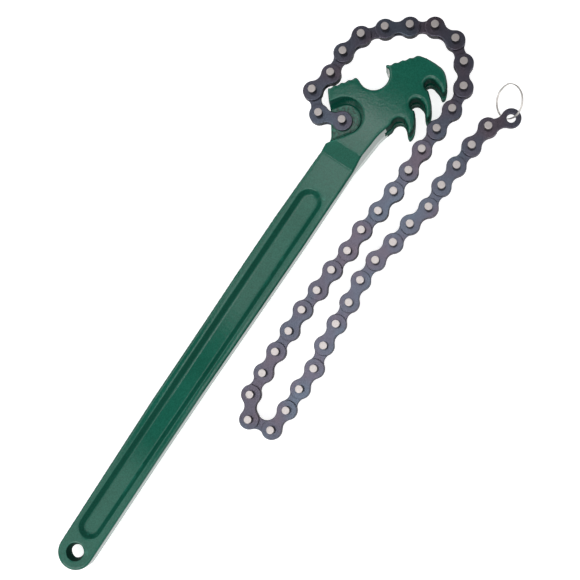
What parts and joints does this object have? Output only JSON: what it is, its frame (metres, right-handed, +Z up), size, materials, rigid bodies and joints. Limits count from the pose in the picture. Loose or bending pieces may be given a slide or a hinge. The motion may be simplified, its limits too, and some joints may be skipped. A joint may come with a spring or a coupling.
{
  "type": "chain oil filter wrench",
  "caption": "Forged chain wrench for oil filters: handle with a hooked, toothed head, a pivoting plate chain that catches in the hooks by its long pins, and a split ring.",
  "frame": {"origin": "middle of the head's lower flat face, on which the tool rests", "axes": "+X along the handle towards the head, +Y towards the anchor pin's side with the laid-out chain on -Y, +Z up along the chain's pins"},
  "size_m": [0.4245, 0.1283, 0.028],
  "materials": {
    "forging_paint": "satin hammered green",
    "blued_plate": "blued",
    "bright_pin": "bright",
    "ring_wire": "polished wire"
  },
  "bodies": {
    "wrench": {"wrench_body": "forging_paint"},
    "link_01": {"link_01_first_pin": "bright_pin", "link_01_lower_plate": "blued_plate", "link_01_second_pin": "bright_pin", "link_01_upper_plate": "blued_plate"},
    "link_02": {"link_02": "blued_plate"},
    "link_03": {"link_03": "blued_plate"},
    "link_04": {"link_04": "blued_plate"},
    "link_05": {"link_05": "blued_plate"},
    "link_06": {"link_06": "blued_plate"},
    "link_07": {"link_07": "blued_plate"},
    "link_08": {"link_08": "blued_plate"},
    "link_09": {"link_09": "blued_plate"},
    "link_10": {"link_10": "blued_plate"},
    "link_11": {"link_11_first_pin": "bright_pin", "link_11_lower_plate": "blued_plate", "link_11_second_pin": "bright_pin", "link_11_upper_plate": "blued_plate"},
    "link_12": {"link_12": "blued_plate"},
    "link_13": {"link_13_first_pin": "bright_pin", "link_13_lower_plate": "blued_plate", "link_13_second_pin": "bright_pin", "link_13_upper_plate": "blued_plate"},
    "link_14": {"link_14": "blued_plate"},
    "link_15": {"link_15_first_pin": "bright_pin", "link_15_lower_plate": "blued_plate", "link_15_second_pin": "bright_pin", "link_15_upper_plate": "blued_plate"},
    "link_16": {"link_16": "blued_plate"},
    "link_17": {"link_17": "blued_plate"},
    "link_18": {"link_18": "blued_plate"},
    "link_19": {"link_19": "blued_plate"},
    "link_20": {"link_20": "blued_plate"},
    "link_21": {"link_21": "blued_plate"},
    "link_22": {"link_22": "blued_plate"},
    "link_23": {"link_23": "blued_plate"},
    "link_24": {"link_24": "blued_plate"},
    "link_25": {"link_25": "blued_plate"},
    "link_26": {"link_26": "blued_plate"},
    "link_27": {"link_27": "blued_plate"},
    "link_28": {"link_28": "blued_plate"},
    "link_29": {"link_29": "blued_plate"},
    "link_30": {"link_30": "blued_plate"},
    "link_31": {"link_31": "blued_plate"},
    "link_32": {"link_32": "blued_plate"},
    "link_33": {"link_33": "blued_plate"},
    "link_34": {"link_34": "blued_plate"},
    "link_35": {"link_35": "blued_plate"},
    "link_36": {"link_36": "blued_plate"},
    "link_37": {"link_37": "blued_plate"},
    "link_38": {"link_38": "blued_plate"},
    "link_39": {"link_39": "blued_plate"},
    "link_40": {"link_40": "blued_plate"},
    "link_41": {"link_41": "blued_plate"},
    "link_42": {"link_42": "blued_plate"},
    "link_43": {"link_43": "blued_plate"},
    "link_44": {"link_44": "blued_plate"},
    "ring": {"split_ring": "ring_wire"}
  },
  "joints": [
    {"name": "pivot_01", "type": "hinge", "parent": "wrench", "child": "link_01", "pos_m": [-0.036, 0.021, 0.014], "axis": [0, 0, 1], "range_deg": [-5, 0.5]},
    {"name": "pivot_02", "type": "hinge", "parent": "link_01", "child": "link_02", "pos_m": [-0.04038, 0.03626, 0.014], "axis": [0, 0, -1], "range_deg": [-0.5, 2]},
    {"name": "pivot_03", "type": "hinge", "parent": "link_02", "child": "link_03", "pos_m": [-0.02996, 0.04824, 0.014], "axis": [0, 0, 1], "range_deg": [-3.5, 0.7]},
    {"name": "pivot_04", "type": "hinge", "parent": "link_03", "child": "link_04", "pos_m": [-0.01456, 0.0444, 0.014], "axis": [0, 0, -1], "range_deg": [-1.4, 5]},
    {"name": "pivot_05", "type": "hinge", "parent": "link_04", "child": "link_05", "pos_m": [0.00128, 0.04551, 0.014], "axis": [0, 0, 1], "range_deg": [-4.5, 6.5]},
    {"name": "pivot_06", "type": "hinge", "parent": "link_05", "child": "link_06", "pos_m": [0.01675, 0.04194, 0.014], "axis": [0, 0, -1], "range_deg": [-105, 1.4]},
    {"name": "pivot_07", "type": "hinge", "parent": "link_06", "child": "link_07", "pos_m": [0.02873, 0.03152, 0.014], "axis": [0, 0, 1], "range_deg": [-0.7, 97]},
    {"name": "pivot_08", "type": "hinge", "parent": "link_07", "child": "link_08", "pos_m": [0.03828, 0.01884, 0.014], "axis": [0, 0, -1], "range_deg": [-90, 0.5]},
    {"name": "pivot_09", "type": "hinge", "parent": "link_08", "child": "link_09", "pos_m": [0.04669, 0.00538, 0.014], "axis": [0, 0, 1], "range_deg": [-0.4, 119]},
    {"name": "pivot_10", "type": "hinge", "parent": "link_09", "child": "link_10", "pos_m": [0.04614, -0.01048, 0.014], "axis": [0, 0, -1], "range_deg": [-105, 0.4]},
    {"name": "pivot_11", "type": "hinge", "parent": "link_10", "child": "link_11", "pos_m": [0.03659, -0.02316, 0.014], "axis": [0, 0, 1], "range_deg": [-0.5, 105]},
    {"name": "pivot_12", "type": "hinge", "parent": "link_11", "child": "link_12", "pos_m": [0.02327, -0.03181, 0.014], "axis": [0, 0, -1], "range_deg": [-71, 0.8]},
    {"name": "pivot_13", "type": "hinge", "parent": "link_12", "child": "link_13", "pos_m": [0.00752, -0.03374, 0.014], "axis": [0, 0, 1], "range_deg": [-1.7, 36]},
    {"name": "pivot_14", "type": "hinge", "parent": "link_13", "child": "link_14", "pos_m": [-0.00832, -0.03264, 0.014], "axis": [0, 0, -1], "range_deg": [-24, 4.5]},
    {"name": "pivot_15", "type": "hinge", "parent": "link_14", "child": "link_15", "pos_m": [-0.02419, -0.03208, 0.014], "axis": [-0.0088, -0.0003, 1], "range_deg": [-5, 17]},
    {"name": "pivot_16", "type": "hinge", "parent": "link_15", "child": "link_16", "pos_m": [-0.04005, -0.03264, 0.01386], "axis": [0.0088, 0.0003, -1], "range_deg": [-12, 5.5]},
    {"name": "pivot_17", "type": "hinge", "parent": "link_16", "child": "link_17", "pos_m": [-0.05591, -0.03208, 0.01348], "axis": [-0.0352, 0.0025, 0.9994], "range_deg": [-6, 9.5]},
    {"name": "pivot_18", "type": "hinge", "parent": "link_17", "child": "link_18", "pos_m": [-0.07174, -0.03098, 0.01292], "axis": [0.0352, -0.0025, -0.9994], "range_deg": [-7.5, 7]},
    {"name": "pivot_19", "type": "hinge", "parent": "link_18", "child": "link_19", "pos_m": [-0.08744, -0.02877, 0.01224], "axis": [-0.0466, 0, 0.9989], "range_deg": [-8, 6]},
    {"name": "pivot_20", "type": "hinge", "parent": "link_19", "child": "link_20", "pos_m": [-0.1033, -0.02877, 0.0115], "axis": [0.0466, 0, -0.9989], "range_deg": [-5.5, 9]},
    {"name": "pivot_21", "type": "hinge", "parent": "link_20", "child": "link_21", "pos_m": [-0.11907, -0.02711, 0.01076], "axis": [-0.0428, 0.0015, 0.9991], "range_deg": [-10, 4.5]},
    {"name": "pivot_22", "type": "hinge", "parent": "link_21", "child": "link_22", "pos_m": [-0.13492, -0.02656, 0.01008], "axis": [0.0428, -0.0015, -0.9991], "range_deg": [-4, 12]},
    {"name": "pivot_23", "type": "hinge", "parent": "link_22", "child": "link_23", "pos_m": [-0.15075, -0.02545, 0.00952], "axis": [-0.0239, -0.0008, 0.9997], "range_deg": [-16, 3.5]},
    {"name": "pivot_24", "type": "hinge", "parent": "link_23", "child": "link_24", "pos_m": [-0.16661, -0.026, 0.00914], "axis": [0.0239, 0.0008, -0.9997], "range_deg": [-3.5, 21]},
    {"name": "pivot_25", "type": "hinge", "parent": "link_24", "child": "link_25", "pos_m": [-0.18248, -0.02628, 0.009], "axis": [0, 0, 1], "range_deg": [-32, 3]},
    {"name": "pivot_26", "type": "hinge", "parent": "link_25", "child": "link_26", "pos_m": [-0.19834, -0.02711, 0.009], "axis": [0, 0, -1], "range_deg": [-2.5, 49]},
    {"name": "pivot_27", "type": "hinge", "parent": "link_26", "child": "link_27", "pos_m": [-0.21417, -0.02822, 0.009], "axis": [0, 0, 1], "range_deg": [-65, 2]},
    {"name": "pivot_28", "type": "hinge", "parent": "link_27", "child": "link_28", "pos_m": [-0.22792, -0.03616, 0.009], "axis": [0, 0, -1], "range_deg": [-1.9, 135]},
    {"name": "pivot_29", "type": "hinge", "parent": "link_28", "child": "link_29", "pos_m": [-0.22516, -0.05179, 0.009], "axis": [0, 0, 1], "range_deg": [-55, 1.9]},
    {"name": "pivot_30", "type": "hinge", "parent": "link_29", "child": "link_30", "pos_m": [-0.20933, -0.0529, 0.009], "axis": [0, 0, -1], "range_deg": [-2, 50]},
    {"name": "pivot_31", "type": "hinge", "parent": "link_30", "child": "link_31", "pos_m": [-0.19346, -0.05234, 0.009], "axis": [0, 0, 1], "range_deg": [-55, 2.5]},
    {"name": "pivot_32", "type": "hinge", "parent": "link_31", "child": "link_32", "pos_m": [-0.17759, -0.05262, 0.009], "axis": [0, 0, -1], "range_deg": [-3, 45]},
    {"name": "pivot_33", "type": "hinge", "parent": "link_32", "child": "link_33", "pos_m": [-0.16201, -0.04959, 0.009], "axis": [0, 0, 1], "range_deg": [-50, 3.5]},
    {"name": "pivot_34", "type": "hinge", "parent": "link_33", "child": "link_34", "pos_m": [-0.14617, -0.04849, 0.009], "axis": [0, 0, -1], "range_deg": [-4, 45]},
    {"name": "pivot_35", "type": "hinge", "parent": "link_34", "child": "link_35", "pos_m": [-0.13032, -0.04765, 0.009], "axis": [0, 0, 1], "range_deg": [-45, 4]},
    {"name": "pivot_36", "type": "hinge", "parent": "link_35", "child": "link_36", "pos_m": [-0.11456, -0.04572, 0.009], "axis": [0, 0, 1], "range_deg": [-45, 5]},
    {"name": "pivot_37", "type": "hinge", "parent": "link_36", "child": "link_37", "pos_m": [-0.09871, -0.04655, 0.009], "axis": [0, 0, -1], "range_deg": [-5.5, 45]},
    {"name": "pivot_38", "type": "hinge", "parent": "link_37", "child": "link_38", "pos_m": [-0.08312, -0.04958, 0.009], "axis": [0, 0, -1], "range_deg": [-6.5, 45]},
    {"name": "pivot_39", "type": "hinge", "parent": "link_38", "child": "link_39", "pos_m": [-0.0674, -0.05179, 0.009], "axis": [0, 0, 1], "range_deg": [-45, 8]},
    {"name": "pivot_40", "type": "hinge", "parent": "link_39", "child": "link_40", "pos_m": [-0.052, -0.05563, 0.009], "axis": [0, 0, -1], "range_deg": [-10, 45]},
    {"name": "pivot_41", "type": "hinge", "parent": "link_40", "child": "link_41", "pos_m": [-0.03615, -0.0548, 0.009], "axis": [0, 0, 1], "range_deg": [-50, 12]},
    {"name": "pivot_42", "type": "hinge", "parent": "link_41", "child": "link_42", "pos_m": [-0.02029, -0.05563, 0.009], "axis": [0, 0, -1], "range_deg": [-15, 45]},
    {"name": "pivot_43", "type": "hinge", "parent": "link_42", "child": "link_43", "pos_m": [-0.00444, -0.05646, 0.009], "axis": [0, 0, 1], "range_deg": [-45, 21]},
    {"name": "pivot_44", "type": "hinge", "parent": "link_43", "child": "link_44", "pos_m": [0.01132, -0.05839, 0.009], "axis": [0, 0, -1], "range_deg": [-32, 58]},
    {"name": "ring_swing", "type": "hinge", "parent": "link_44", "child": "ring", "pos_m": [0.02448, -0.06727, 0.009], "axis": [-0.7771, -0.6293, 0], "range_deg": [-2, 86]}
  ]
}
